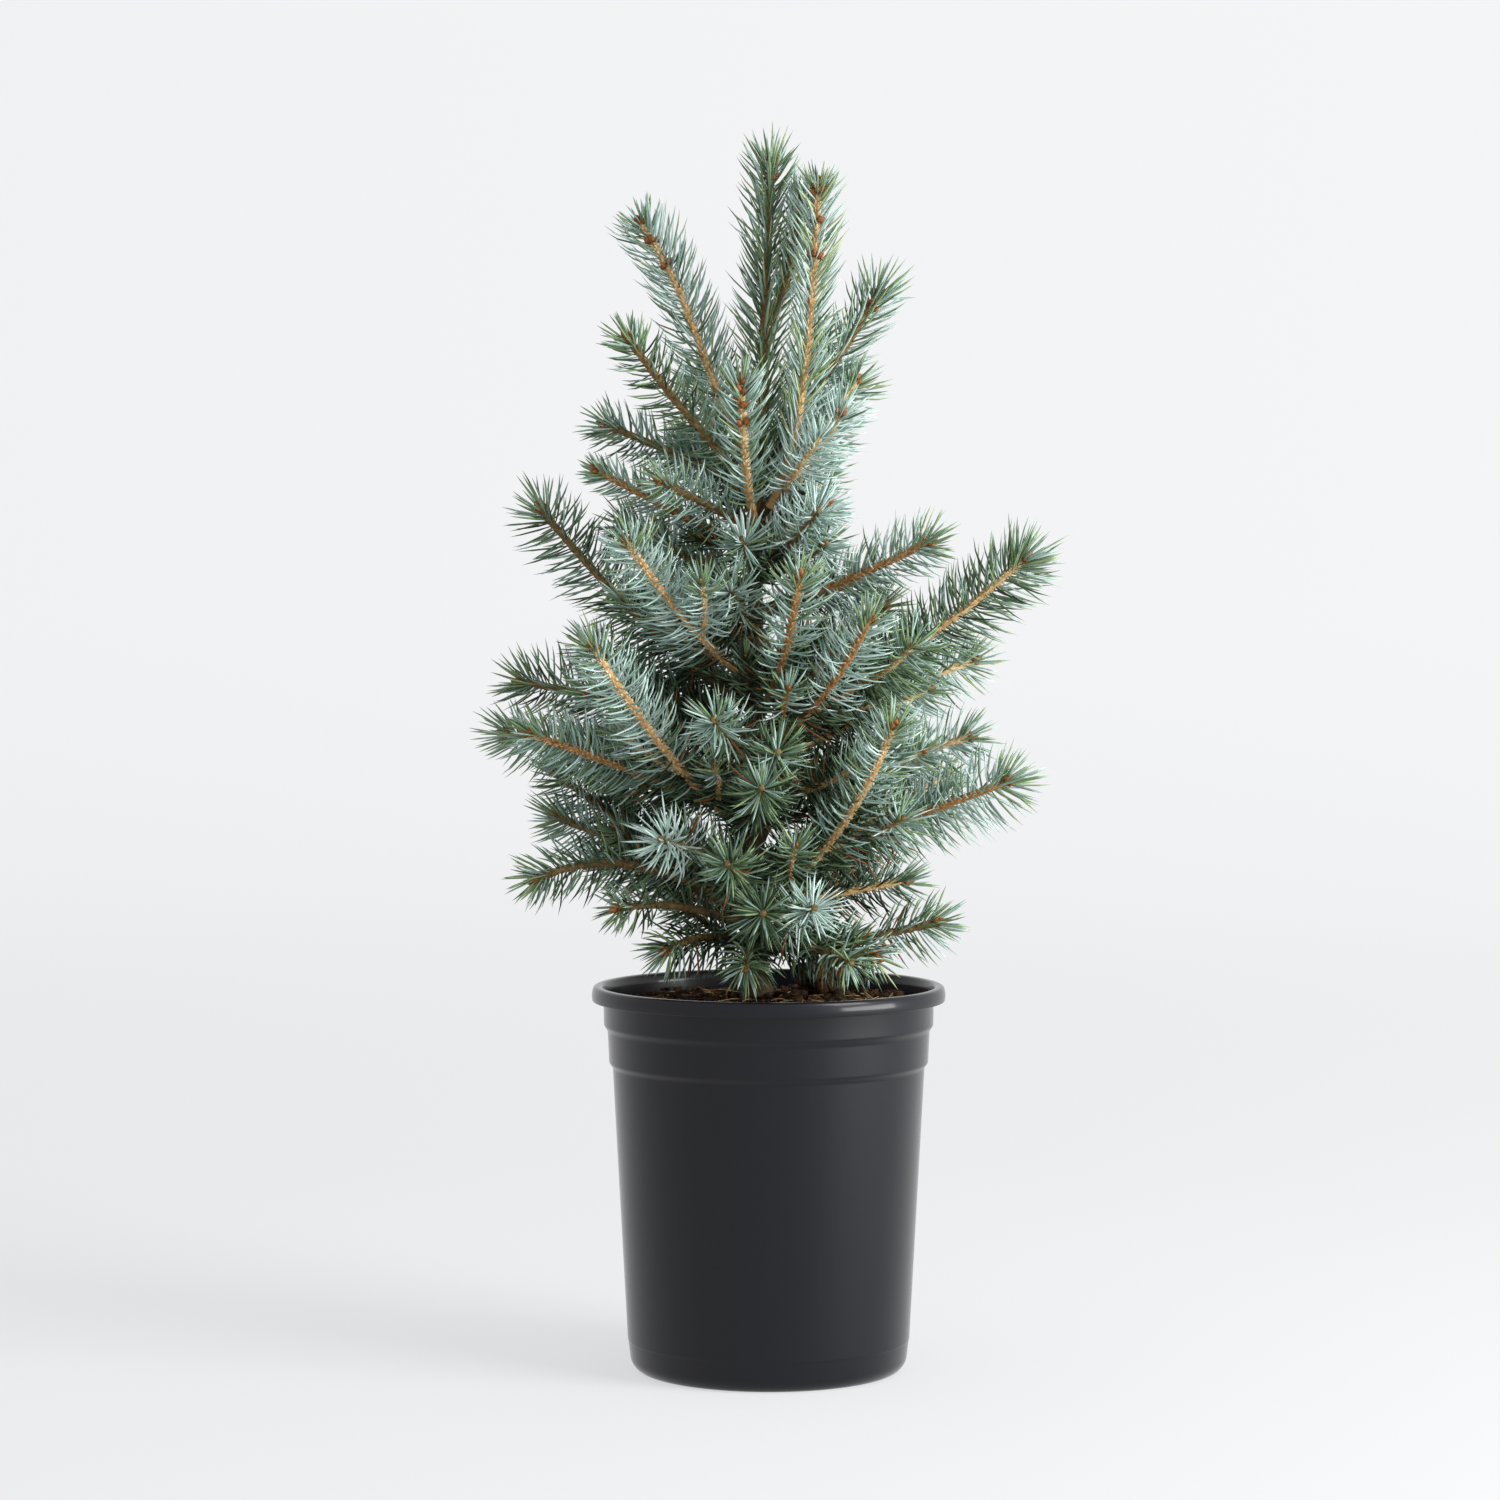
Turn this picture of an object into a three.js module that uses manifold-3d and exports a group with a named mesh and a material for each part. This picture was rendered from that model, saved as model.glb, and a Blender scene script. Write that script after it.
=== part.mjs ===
// Potted blue spruce: a young spruce with two leading stems, in a round plastic nursery pot.
//
// Millimetres, +Z up. The origin is the middle of the pot's flat underside, -Y is the front.
// The pot holds the soil, the trunk stands on the soil, the boughs leave the trunk, and each
// bough ends inside a mass of needles. Every mass is an uneven spindle round its own shoot.

import * as THREE from 'three';
import { mergeVertices } from 'three/addons/utils/BufferGeometryUtils.js';
import Module from 'manifold-3d';

const wasm = await Module();
wasm.setup();

// ---------------------------------------------------------------- driving dimensions

const GAP = 0.3; // clearance between neighbouring pieces

// Pot
const POT_HEIGHT = 207;
const POT_SIDES = 28;
const RIM_RADIUS = 95;
const RIM_DEPTH = 7.8;
const MOUTH_RADIUS = 88;
const COLLAR_RADIUS = 88.5;
const COLLAR_FOOT = 186;
const BAND_TOP = 183;
const BAND_TOP_RADIUS = 86.4;
const BAND_FOOT = 165.9;
const BAND_FOOT_RADIUS = 85.6;
const BODY_TOP = 163.2;
const BODY_TOP_RADIUS = 83.7;
const HEEL_HEIGHT = 16.2;
const HEEL_RADIUS = 75.6;
const FOOT_RADIUS = 70;
const WALL = 1.6;
const FLOOR_THICKNESS = 3;
const DRAIN_HOLES = 6;
const DRAIN_RADIUS = 6;
const DRAIN_CIRCLE = 52;

// Soil
const SOIL_EDGE_HEIGHT = 196;
const SOIL_HILL_HEIGHT = 201.5;
const SOIL_HILL_RADIUS = 20;

// Trunk
const TRUNK_FOOT = SOIL_HILL_HEIGHT + GAP;
const TRUNK_TOP = 647;
const TRUNK_RADIUS = 6.2;
const TRUNK_TOP_RADIUS = 1.7;
const FLARE = 3.6;
const FLARE_HEIGHT = 8;
const TRUNK_SIDES = 10;
const TRUNK_ROWS = 12;
const TRUNK_LEAN = [ // the slight S of the stem: height, sideways offset
  [TRUNK_FOOT, -6],
  [300, -7.5],
  [440, -7],
  [540, -2.5],
  [TRUNK_TOP, 1],
];

// Boughs
const BOUGH_RADIUS = 3.1;
const BOUGH_END_RADIUS = 2;
const BOUGH_SIDES = 6;
const BOUGH_ROWS = 4;
const BARE = 0.24; // share of a shoot that is bare limb
const SOCKET = 4; // how far a bough reaches into its mass

// Foliage masses
const NEEDLE_REACH = 18; // needles in front of a shoot's end bud
const MASS_RADIUS = 16;
const MASS_SIDES = 8;
const MASS_ROWS = 6;
const UNEVENNESS = 0.2;
const LEADER_FOOT = 509;
const LEADER_GIRTH = 15;
const LEADER_REACH = 22;

// Shoots. from: height where it leaves the trunk. turn: compass angle, 0 = right, 90 = back.
// reach: how far out its end bud is. tip: height of the end bud. out: how far along the reach
// the limb's bend lies. arch: how far the bend lifts (+) or sags (-). girth: radius of its
// needles. bare: whether a bare bough shows before the needles start.
const SHOOTS = {
  // the top of the tree
  coleader: { from: 458, turn: -39, reach: 42, tip: 632, out: 0.8, arch: -78, girth: 15, bare: true },
  upper_left: { from: 473, turn: 167, reach: 65, tip: 616, out: 0.68, arch: 14, girth: 15, bare: true },
  upper_right: { from: 483, turn: 21, reach: 70, tip: 580, arch: -6, girth: 15, bare: true },
  second_left: { from: 471, turn: -162, reach: 73, tip: 553, arch: -6, girth: 16, bare: true },
  third_left: { from: 471, turn: 165, reach: 86, tip: 508, arch: 2 },
  upper_front: { from: 453, turn: -100, reach: 46, tip: 529, out: 0.7, arch: -22 },
  short_right: { from: 461, turn: -15, reach: 47, tip: 514, out: 0.6, arch: -12, girth: 19 },
  fourth_left: { from: 438, turn: -174, reach: 86, tip: 483, arch: 0 },
  fifth_left: { from: 418, turn: 156, reach: 80, tip: 455, arch: 4 },
  upper_back: { from: 458, turn: 125, reach: 58, tip: 536, out: 0.6, arch: -12, girth: 18 },
  upper_back_right: { from: 443, turn: 70, reach: 64, tip: 508, out: 0.6, arch: -8, girth: 19 },
  // the middle of the crown
  mid_left: { from: 353, turn: 172, reach: 117, tip: 463, arch: -16, girth: 17, bare: true },
  mid_front_left: { from: 367, turn: -130, reach: 104, tip: 445, arch: -12, girth: 18, bare: true },
  short_front: { from: 428, turn: -60, reach: 66, tip: 461, arch: -6, girth: 19 },
  short_mid_right: { from: 408, turn: -18, reach: 97, tip: 445, arch: -6, girth: 15 },
  mid_right: { from: 338, turn: -14, reach: 147, tip: 436, arch: -15, girth: 18, bare: true },
  mid_back_right: { from: 343, turn: 14, reach: 123, tip: 381, arch: -4, girth: 18 },
  lower_mid_right: { from: 303, turn: -6, reach: 116, tip: 341, arch: 0, girth: 20 },
  mid_front: { from: 348, turn: -72, reach: 75, tip: 427, out: 0.65, arch: -20, girth: 19 },
  mid_front_right: { from: 333, turn: -49, reach: 91, tip: 405, out: 0.6, arch: -18, girth: 18 },
  long_front_left: { from: 288, turn: -133, reach: 123, tip: 391, out: 0.45, arch: -26, girth: 18, bare: true },
  lower_mid_left: { from: 328, turn: 169, reach: 130, tip: 369, arch: 12, girth: 17, bare: true },
  far_left: { from: 298, turn: -176, reach: 134, tip: 343, arch: 6, girth: 20 },
  front_star: { from: 328, turn: -104, reach: 90, tip: 353, arch: -4, girth: 20 },
  back_mid_right: { from: 328, turn: 46, reach: 128, tip: 395, arch: -10, girth: 19 },
  back_mid: { from: 348, turn: 92, reach: 120, tip: 413, arch: -10, girth: 19 },
  back_mid_left: { from: 378, turn: 128, reach: 100, tip: 443, arch: -8, girth: 20 },
  // the skirt of the crown
  low_right: { from: 268, turn: -17, reach: 140, tip: 319, arch: -2, girth: 17, bare: true },
  lowest_right: { from: 227, turn: -8, reach: 98, tip: 242, arch: -5, girth: 16 },
  low_front_right: { from: 253, turn: -48, reach: 107, tip: 350, out: 0.6, arch: -28, girth: 20, bare: true },
  low_front: { from: 295, turn: -88, reach: 95, tip: 318, arch: 0, girth: 21 },
  low_front_left: { from: 265, turn: -121, reach: 96, tip: 291, arch: 2, girth: 21 },
  lowest_front: { from: 235, turn: -88, reach: 90, tip: 253, arch: 6, girth: 21 },
  droop_front_right: { from: 223, turn: -54, reach: 84, tip: 225, arch: 12, girth: 15 },
  low_left: { from: 253, turn: 165, reach: 113, tip: 320, arch: -8, girth: 19, bare: true },
  lowest_left: { from: 237, turn: -164, reach: 123, tip: 266, arch: 40, girth: 16, bare: true },
  droop_front_left: { from: 235, turn: -140, reach: 96, tip: 253, arch: 14, girth: 17 },
  low_back_right: { from: 265, turn: 35, reach: 130, tip: 315, arch: 0, girth: 20 },
  low_back: { from: 278, turn: 78, reach: 126, tip: 328, arch: -2, girth: 20, bare: true },
  low_back_left: { from: 293, turn: 120, reach: 130, tip: 348, arch: -2, girth: 21 },
  lowest_back_right: { from: 237, turn: 62, reach: 106, tip: 261, arch: 8, girth: 18 },
  lowest_back: { from: 241, turn: 122, reach: 110, tip: 267, arch: 8, girth: 20 },
};

// ---------------------------------------------------------------- materials

const plastic = new THREE.MeshStandardMaterial({ color: 0x24252a, roughness: 0.42, metalness: 0 });
const compost = new THREE.MeshStandardMaterial({ color: 0x2e2119, roughness: 1, metalness: 0 });
const bark = new THREE.MeshStandardMaterial({ color: 0x4a3a28, roughness: 0.9, metalness: 0 });
const youngBark = new THREE.MeshStandardMaterial({ color: 0xa9824f, roughness: 0.85, metalness: 0 });
const needles = new THREE.MeshStandardMaterial({ color: 0x6f958f, roughness: 0.7, metalness: 0 });

// ---------------------------------------------------------------- joining and cutting

// A closed three.js geometry as a solid that can be joined and cut.
function solidOf(geometry) {
  const bare = geometry.clone();
  bare.deleteAttribute('normal');
  bare.deleteAttribute('uv');
  const merged = mergeVertices(bare, 1e-4);
  const corners = Array.from(merged.index.array);
  const kept = [];
  for (let i = 0; i < corners.length; i += 3) {
    const [a, b, c] = corners.slice(i, i + 3);
    if (a !== b && b !== c && c !== a) kept.push(a, b, c);
  }
  return new wasm.Manifold(new wasm.Mesh({
    numProp: 3,
    vertProperties: new Float32Array(merged.attributes.position.array),
    triVerts: new Uint32Array(kept),
  }));
}

// The solid's surface as a three.js geometry.
function geometryOf(solid) {
  const mesh = solid.getMesh();
  const geometry = new THREE.BufferGeometry();
  geometry.setAttribute('position', new THREE.BufferAttribute(mesh.vertProperties, 3));
  geometry.setIndex(new THREE.BufferAttribute(mesh.triVerts, 1));
  const faceted = geometry.toNonIndexed();
  faceted.computeVertexNormals();
  return faceted;
}

// Cutting can leave crumbs: the largest piece is the part.
function largestPiece(solid) {
  const pieces = solid.decompose();
  return pieces.reduce((best, piece) => (piece.volume() > best.volume() ? piece : best));
}

function boxesMeet(a, b) {
  const p = a.boundingBox();
  const q = b.boundingBox();
  return [0, 1, 2].every((i) => p.min[i] <= q.max[i] && q.min[i] <= p.max[i]);
}

function cutRound(solid, obstacles) {
  const near = obstacles.filter((obstacle) => boxesMeet(solid, obstacle));
  const cut = near.reduce((rest, obstacle) => rest.subtract(obstacle), solid);
  return largestPiece(cut);
}

// ---------------------------------------------------------------- pot and soil

function lathe(profile, sides) {
  const points = profile.map(([radius, height]) => new THREE.Vector2(radius, height));
  return new THREE.LatheGeometry(points, sides).rotateX(Math.PI / 2);
}

function potSolid() {
  const outside = [
    [0, 0],
    [FOOT_RADIUS, 0],
    [FOOT_RADIUS + 2.9, 1.3],
    [FOOT_RADIUS + 4.1, 4.5],
    [HEEL_RADIUS, HEEL_HEIGHT],
    [BODY_TOP_RADIUS, BODY_TOP],
    [BAND_FOOT_RADIUS, BAND_FOOT],
    [BAND_TOP_RADIUS, BAND_TOP],
    [COLLAR_RADIUS, COLLAR_FOOT],
    [COLLAR_RADIUS, POT_HEIGHT - RIM_DEPTH],
    [RIM_RADIUS - 0.5, POT_HEIGHT - RIM_DEPTH],
    [RIM_RADIUS, POT_HEIGHT - 5.4],
    [RIM_RADIUS - 0.9, POT_HEIGHT - 1.4],
    [RIM_RADIUS - 2.8, POT_HEIGHT],
  ];
  const inside = [
    [MOUTH_RADIUS + 1.5, POT_HEIGHT - 0.4],
    [MOUTH_RADIUS, POT_HEIGHT - 2.2],
    [COLLAR_RADIUS - WALL, COLLAR_FOOT - 0.8],
    [BAND_TOP_RADIUS - WALL, BAND_TOP - 0.8],
    [BAND_FOOT_RADIUS - WALL, BAND_FOOT + 0.6],
    [BODY_TOP_RADIUS - WALL, BODY_TOP + 0.4],
    [HEEL_RADIUS - WALL, HEEL_HEIGHT],
    [FOOT_RADIUS + 1.4, FLOOR_THICKNESS],
    [0, FLOOR_THICKNESS],
  ];
  let pot = solidOf(lathe([...outside, ...inside], POT_SIDES));
  for (let i = 0; i < DRAIN_HOLES; i += 1) {
    const angle = (i + 0.5) * (2 * Math.PI / DRAIN_HOLES);
    const hole = new THREE.CylinderGeometry(DRAIN_RADIUS, DRAIN_RADIUS, 4 * FLOOR_THICKNESS, 8);
    hole.rotateX(Math.PI / 2);
    hole.translate(DRAIN_CIRCLE * Math.cos(angle), DRAIN_CIRCLE * Math.sin(angle), 0);
    pot = pot.subtract(solidOf(hole));
  }
  return pot;
}

function soilSolid() {
  const fit = WALL + 0.4;
  return solidOf(lathe([
    [0, FLOOR_THICKNESS + GAP],
    [FOOT_RADIUS + 1.0, FLOOR_THICKNESS + GAP],
    [HEEL_RADIUS - fit, HEEL_HEIGHT],
    [BODY_TOP_RADIUS - fit, BODY_TOP + 0.4],
    [BAND_FOOT_RADIUS - fit, BAND_FOOT + 0.9],
    [BAND_TOP_RADIUS - fit, BAND_TOP - 0.5],
    [COLLAR_RADIUS - fit, COLLAR_FOOT - 0.3],
    [MOUTH_RADIUS - 0.9, SOIL_EDGE_HEIGHT],
    [2.8 * SOIL_HILL_RADIUS, SOIL_EDGE_HEIGHT + 1.2],
    [1.6 * SOIL_HILL_RADIUS, SOIL_EDGE_HEIGHT + 3.4],
    [SOIL_HILL_RADIUS, SOIL_HILL_HEIGHT],
    [0, SOIL_HILL_HEIGHT],
  ], POT_SIDES));
}

// The space that the needles stay out of: the pot and the air just above its mouth.
function potClearance() {
  const top = POT_HEIGHT + 1;
  return solidOf(new THREE.CylinderGeometry(RIM_RADIUS + 2, RIM_RADIUS + 2, top, POT_SIDES)
    .rotateX(Math.PI / 2).translate(0, 0, top / 2));
}

// ---------------------------------------------------------------- trunk and boughs

function trunkOffset(height) {
  const next = TRUNK_LEAN.findIndex(([level]) => level >= height);
  if (next <= 0) return (next === 0 ? TRUNK_LEAN[0] : TRUNK_LEAN.at(-1))[1];
  const [z0, x0] = TRUNK_LEAN[next - 1];
  const [z1, x1] = TRUNK_LEAN[next];
  return THREE.MathUtils.lerp(x0, x1, THREE.MathUtils.smoothstep(height, z0, z1));
}

function trunkRadius(height) {
  const share = (height - TRUNK_FOOT) / (TRUNK_TOP - TRUNK_FOOT);
  const taper = THREE.MathUtils.lerp(TRUNK_RADIUS, TRUNK_TOP_RADIUS, share ** 0.85);
  return taper + FLARE * Math.exp(-(height - TRUNK_FOOT) / FLARE_HEIGHT);
}

// The trunk, or with extra > 0 the slightly larger trunk that other pieces are cut by.
function trunkSolid(extra = 0) {
  const trunk = new THREE.CylinderGeometry(1, 1, 1, TRUNK_SIDES, TRUNK_ROWS).rotateX(Math.PI / 2);
  const place = trunk.attributes.position;
  const flareShare = 0.16;
  for (let i = 0; i < place.count; i += 1) {
    const share = place.getZ(i) + 0.5;
    const climb = share < flareShare ? share * share / flareShare : share;
    const height = THREE.MathUtils.lerp(TRUNK_FOOT, TRUNK_TOP, climb);
    const radius = trunkRadius(height) + extra;
    const level = height + (share > 0.999 ? extra : 0) - (share < 0.001 ? extra : 0);
    place.setXYZ(i, trunkOffset(height) + radius * place.getX(i), radius * place.getY(i), level);
  }
  return solidOf(trunk);
}

// The line of a shoot, from the middle of the trunk to its end bud.
function shootLine(shoot) {
  const { from, turn, reach, tip, out = 0.5, arch = 0 } = shoot;
  const angle = THREE.MathUtils.degToRad(turn);
  const at = (distance, height) => new THREE.Vector3(
    trunkOffset(from) + distance * Math.cos(angle),
    distance * Math.sin(angle),
    height,
  );
  return new THREE.QuadraticBezierCurve3(at(0, from), at(out * reach, (from + tip) / 2 + arch), at(reach, tip));
}

// Bends a unit body whose length runs along Z onto the stretch of a line between two shares
// of it. width(share, angle) is the half width there, and before and after extend its ends.
function bendAlong(geometry, line, start, end, before, after, width) {
  const place = geometry.attributes.position;
  const side = new THREE.Vector3();
  const over = new THREE.Vector3();
  for (let i = 0; i < place.count; i += 1) {
    const [x, y, z] = [place.getX(i), place.getY(i), place.getZ(i)];
    const share = THREE.MathUtils.clamp(z + 0.5, 0, 1);
    const t = THREE.MathUtils.lerp(start, end, share);
    const ahead = line.getTangent(t);
    side.crossVectors(new THREE.Vector3(0, 0, 1), ahead).normalize();
    over.crossVectors(ahead, side);
    const radius = width(share, Math.atan2(y, x));
    const point = line.getPoint(t)
      .addScaledVector(ahead, share * after - (1 - share) * before)
      .addScaledVector(side, radius * x)
      .addScaledVector(over, radius * y);
    place.setXYZ(i, point.x, point.y, point.z);
  }
  return solidOf(geometry);
}

function boughSolid(shoot, extra = 0) {
  const line = shootLine(shoot);
  const end = BARE + SOCKET / line.getLength();
  const rod = new THREE.CylinderGeometry(1, 1, 1, BOUGH_SIDES, BOUGH_ROWS).rotateX(Math.PI / 2);
  const width = (share) => THREE.MathUtils.lerp(BOUGH_RADIUS, BOUGH_END_RADIUS, share) + extra;
  return bendAlong(rod, line, 0, end, 0, extra, width);
}

// ---------------------------------------------------------------- foliage masses

// Smooth lumps that run round and along a mass and differ from mass to mass.
function lump(share, angle, seed) {
  const round = Math.sin(2 * angle + 2.1 * seed + 5 * share) + 0.7 * Math.sin(3 * angle - 1.3 * seed);
  const along = Math.sin(7 * share + 1.7 * seed + Math.cos(angle));
  return UNEVENNESS * (0.5 * round + 0.5 * along);
}

// An uneven spindle round the needled stretch of a shoot, with its foot at the bare limb.
function massSolid(shoot, seed, extra = 0) {
  const line = shootLine(shoot);
  const start = shoot.bare ? BARE : 0.06;
  const girth = shoot.girth ?? MASS_RADIUS;
  const ball = new THREE.SphereGeometry(1, MASS_SIDES, MASS_ROWS).rotateX(Math.PI / 2).scale(1, 1, 0.5);
  const place = ball.attributes.position;
  for (let i = 0; i < place.count; i += 1) {
    const across = Math.hypot(place.getX(i), place.getY(i));
    const fuller = across < 1e-6 ? 0 : across ** 0.65 / across;
    place.setXY(i, place.getX(i) * fuller, place.getY(i) * fuller);
  }
  const width = (share, angle) => girth * (1.12 - 0.3 * share) * (1 + lump(share, angle, seed)) + extra;
  return bendAlong(ball, line, start, 1, extra, NEEDLE_REACH + extra, width);
}

// The needles round the top of the trunk, from below its last buds to above its tip.
function leaderSolid(extra = 0) {
  const foot = new THREE.Vector3(trunkOffset(LEADER_FOOT), 0, LEADER_FOOT);
  const middle = new THREE.Vector3(trunkOffset(580), 0.1, 580);
  const top = new THREE.Vector3(trunkOffset(TRUNK_TOP), 0, TRUNK_TOP);
  const line = new THREE.QuadraticBezierCurve3(foot, middle, top);
  const ball = new THREE.SphereGeometry(1, MASS_SIDES, MASS_ROWS + 1).rotateX(Math.PI / 2).scale(1, 1, 0.5);
  const width = (share, angle) => LEADER_GIRTH * (1.1 - 0.25 * share) * (1 + lump(share, angle, 0.4)) + extra;
  return bendAlong(ball, line, 0, 1, extra, LEADER_REACH + extra, width);
}

// ---------------------------------------------------------------- the assembly

const tree = new THREE.Group();
tree.name = 'potted_blue_spruce';

function addPiece(parent, name, solid, material) {
  const mesh = new THREE.Mesh(geometryOf(solid), material);
  mesh.name = name;
  parent.add(mesh);
}

const container = new THREE.Group();
addPiece(container, 'pot', potSolid(), plastic);
addPiece(container, 'soil', soilSolid(), compost);
tree.add(container);

const limbs = new THREE.Group();
addPiece(limbs, 'trunk', trunkSolid(), bark);
tree.add(limbs);

const obstacles = [trunkSolid(GAP), potClearance()];
for (const [name, shoot] of Object.entries(SHOOTS)) {
  if (!shoot.bare) continue;
  addPiece(limbs, `bough_${name}`, cutRound(boughSolid(shoot), obstacles), youngBark);
  obstacles.push(boughSolid(shoot, GAP));
}

const crown = new THREE.Group();
addPiece(crown, 'needles_leader', cutRound(leaderSolid(), obstacles), needles);
obstacles.push(leaderSolid(GAP));
Object.entries(SHOOTS).forEach(([name, shoot], index) => {
  addPiece(crown, `needles_${name}`, cutRound(massSolid(shoot, index + 1), obstacles), needles);
  obstacles.push(massSolid(shoot, index + 1, GAP));
});
tree.add(crown);

export default tree;
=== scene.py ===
import math

import bpy
import numpy as np
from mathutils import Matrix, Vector


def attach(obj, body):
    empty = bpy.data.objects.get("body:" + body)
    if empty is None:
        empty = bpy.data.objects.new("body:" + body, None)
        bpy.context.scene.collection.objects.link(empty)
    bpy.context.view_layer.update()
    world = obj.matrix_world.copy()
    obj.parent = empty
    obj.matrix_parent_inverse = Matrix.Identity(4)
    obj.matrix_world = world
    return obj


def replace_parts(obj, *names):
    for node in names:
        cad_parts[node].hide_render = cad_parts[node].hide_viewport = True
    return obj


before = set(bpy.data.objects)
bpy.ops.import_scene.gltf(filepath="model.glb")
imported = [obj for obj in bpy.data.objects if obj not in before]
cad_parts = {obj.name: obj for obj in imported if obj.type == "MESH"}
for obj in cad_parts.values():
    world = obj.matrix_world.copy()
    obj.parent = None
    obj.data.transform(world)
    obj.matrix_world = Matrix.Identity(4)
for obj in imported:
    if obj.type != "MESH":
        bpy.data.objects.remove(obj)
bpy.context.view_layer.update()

# The potted blue spruce's looks: every needle mass, bough and the trunk of the CAD frame is
# replaced by bark, twigs, buds and needles grown from the same shoots by a seeded rule, and the
# pot and soil by finer ones. Sizes are millimetres until a mesh is made, which turns them into
# metres. -Y is the front.

MM = 0.001
UP = np.array([0.0, 0.0, 1.0])
RIGHT = np.array([1.0, 0.0, 0.0])
rng = np.random.default_rng(41)

# ---- named sizes

TRUNK_FOOT = 201.5
TRUNK_TOP = 647.0
TRUNK_RADIUS = 6.0
TRUNK_TOP_RADIUS = 1.7
TRUNK_FLARE = 3.4
TRUNK_FLARE_FALL = 8.0
TRUNK_LEAN_HEIGHTS = [TRUNK_FOOT, 300, 440, 540, TRUNK_TOP]
TRUNK_LEAN_OFFSETS = [-6, -7.5, -7, -2.5, 1]
LEADER_FOOT = 458.0

LIMB_RADIUS = 2.6
LIMB_TIP_RADIUS = 1.8
TWIG_RADIUS = 1.8
TWIG_TIP_RADIUS = 1.4
LOWEST_TWIG_TIP = 216.0
LINE_STEP = 1.5
GOLDEN_ANGLE = math.radians(137.508)

NEEDLE_LENGTH = 23.5
NEEDLE_RADIUS = 0.66
NEEDLES_PER_MM = 2.1
# How far along a needle each of its rings is, and how wide.
NEEDLE_RINGS = ((0.0, 0.55), (0.3, 1.0), (0.72, 0.8))
# Needles lean SPREAD degrees from the stem. Over its last stretch that falls to TIP_SPREAD, and
# the last needles are shorter and crowd into a tuft.
SPREAD = 72.0
TIP_SPREAD = 30.0
TIP_STRETCH = 15.0
FORWARD_BEND = 0.5
PARTED = 0.34
TUFT_LENGTH = 10.0
TUFT_SHARE = 0.76
# Short shaded shoots on the trunk.
INNER_SHOOTS = 28
INNER_LOWEST = 226.0
INNER_SPAN = 232.0
INNER_RADIUS = 1.5
INNER_TIP_RADIUS = 1.0
# Where the crown's parts meet on the trunk, and the middle of the crown.
SKIRT_TOP = 300.0
MIDDLE_TOP = 430.0
CROWN_MIDDLE = 400.0
# How far from the trunk the shade reaches, low in the crown and high in it.
SHADE_HEIGHTS = (310.0, 420.0)
SHADE_REACHES = (90.0, 38.0)
# Past this sine of its turn a shoot faces away and carries this share of the needles.
AWAY = 0.3
AWAY_SHARE = 0.8
PEG_LENGTH = 3.6
PEG_HALF_WIDTH = 0.95
PEG_RISE = 0.8
PEG_SINK = 0.25
BUD_SIDES = 7
# How far along a bud each of its rings is, and how wide, as shares of its size.
BUD_RINGS = ((0.0, 0.30), (0.22, 0.46), (0.5, 0.42), (0.78, 0.24), (1.0, 0.04))

SOIL_EDGE = 196.3
SOIL_HILL = 201.3
SOIL_HILL_REACH = 34.0


# What a shoot looks like where its row says nothing else.
USUAL = {
    "stem": "tan", "tint": "blue", "dark": 0.2, "sides": 2, "length": NEEDLE_LENGTH,
    "spread": SPREAD, "tip_spread": TIP_SPREAD, "lift": 0.18, "parted": PARTED, "bare": 0.22,
    "hook": 0.0, "bud": 4.6, "knots": (), "fresh": True, "tuft": TUFT_SHARE,
    "per_mm": NEEDLES_PER_MM,
}


class Shoot:
    """One main shoot: where it leaves the trunk, where its end bud is, and how it looks.

    turn is the compass angle (0 right, 90 back), reach how far out the end bud is and tip its
    height. out and arch place the bend of the limb. dark is the share of the limb that is old
    dark wood, bare the share without needles, and sides how many side shoots stand on it. spread
    and tip_spread are how far the needles lean from the stem, lift how much they turn up and
    parted how much they leave the outer face bare. hook bends the last third outward. bud is the
    size of the end bud, knots are the distances below the tip where more buds sit, fresh says
    whether the newest needles are greener, tuft is the length share of the last needles, and
    per_mm how many needles stand on a millimetre.
    """

    def __init__(self, leaves, turn, reach, tip, out=0.5, arch=0.0, **looks):
        self.leaves = leaves
        self.turn = math.radians(turn)
        self.reach = reach
        self.tip = tip
        self.out = out
        self.arch = arch
        for name, value in {**USUAL, **looks}.items():
            setattr(self, name, value)


def star(leaves, turn, reach, tip, arch=0.0, tint="blue", **more):
    """A shoot that points at whoever looks, so that its needles stand round it like a star."""
    return Shoot(leaves, turn, reach, tip, arch=arch, tint=tint, sides=0, stem="olive",
                 tip_spread=48, parted=0.05, bud=0, fresh=False, **more)


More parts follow.
